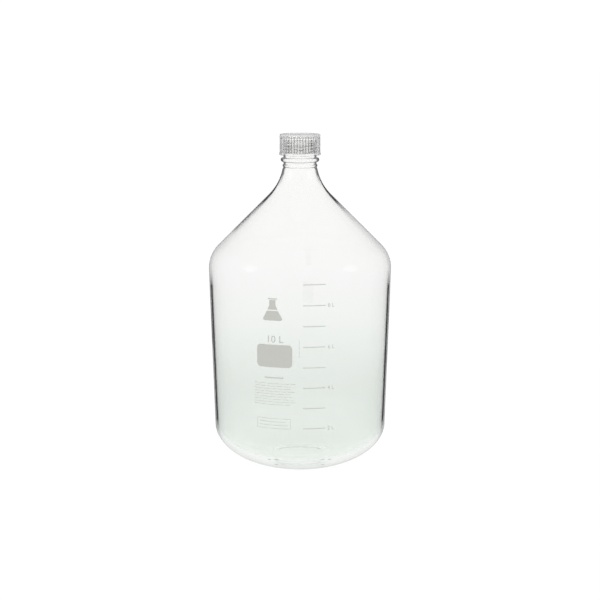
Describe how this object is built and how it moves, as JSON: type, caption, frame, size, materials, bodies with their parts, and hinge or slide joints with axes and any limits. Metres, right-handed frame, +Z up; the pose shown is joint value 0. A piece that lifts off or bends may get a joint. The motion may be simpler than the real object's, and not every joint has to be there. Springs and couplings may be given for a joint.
{
  "type": "reagent bottle",
  "caption": "Large clear glass reagent bottle with a conical shoulder, printed volume scale, pouring ring and lined screw cap on a threaded neck.",
  "frame": {"origin": "centre of the round foot, on the surface that the bottle stands on", "axes": "+Z up along the bottle's axis towards the cap; -Y towards the printed side"},
  "size_m": [0.2272, 0.2272, 0.4145],
  "materials": {
    "clear_glass": "polished",
    "clear_plastic": "moulded gloss",
    "silicone": "matte",
    "fluoropolymer": "matte"
  },
  "bodies": {
    "bottle": {"glass_bottle": "clear_glass", "pouring_ring": "clear_plastic"},
    "seal": {"seal_disc": "silicone", "seal_facing": "fluoropolymer"},
    "cap": {"screw_cap": "clear_plastic"}
  },
  "joints": [
    {"name": "cap_lift", "type": "slide", "parent": "bottle", "child": "seal", "axis": [0, 0, 1], "range_m": [0, 0.0241]},
    {"name": "cap_turn", "type": "hinge", "parent": "seal", "child": "cap", "pos_m": [0, 0, 0.4], "axis": [0, 0, 1], "range_deg": [0, 2160]}
  ],
  "couplings": [
    {"joint": "cap_lift", "follows": "cap_turn", "m_per_rad": 0.00063662}
  ]
}
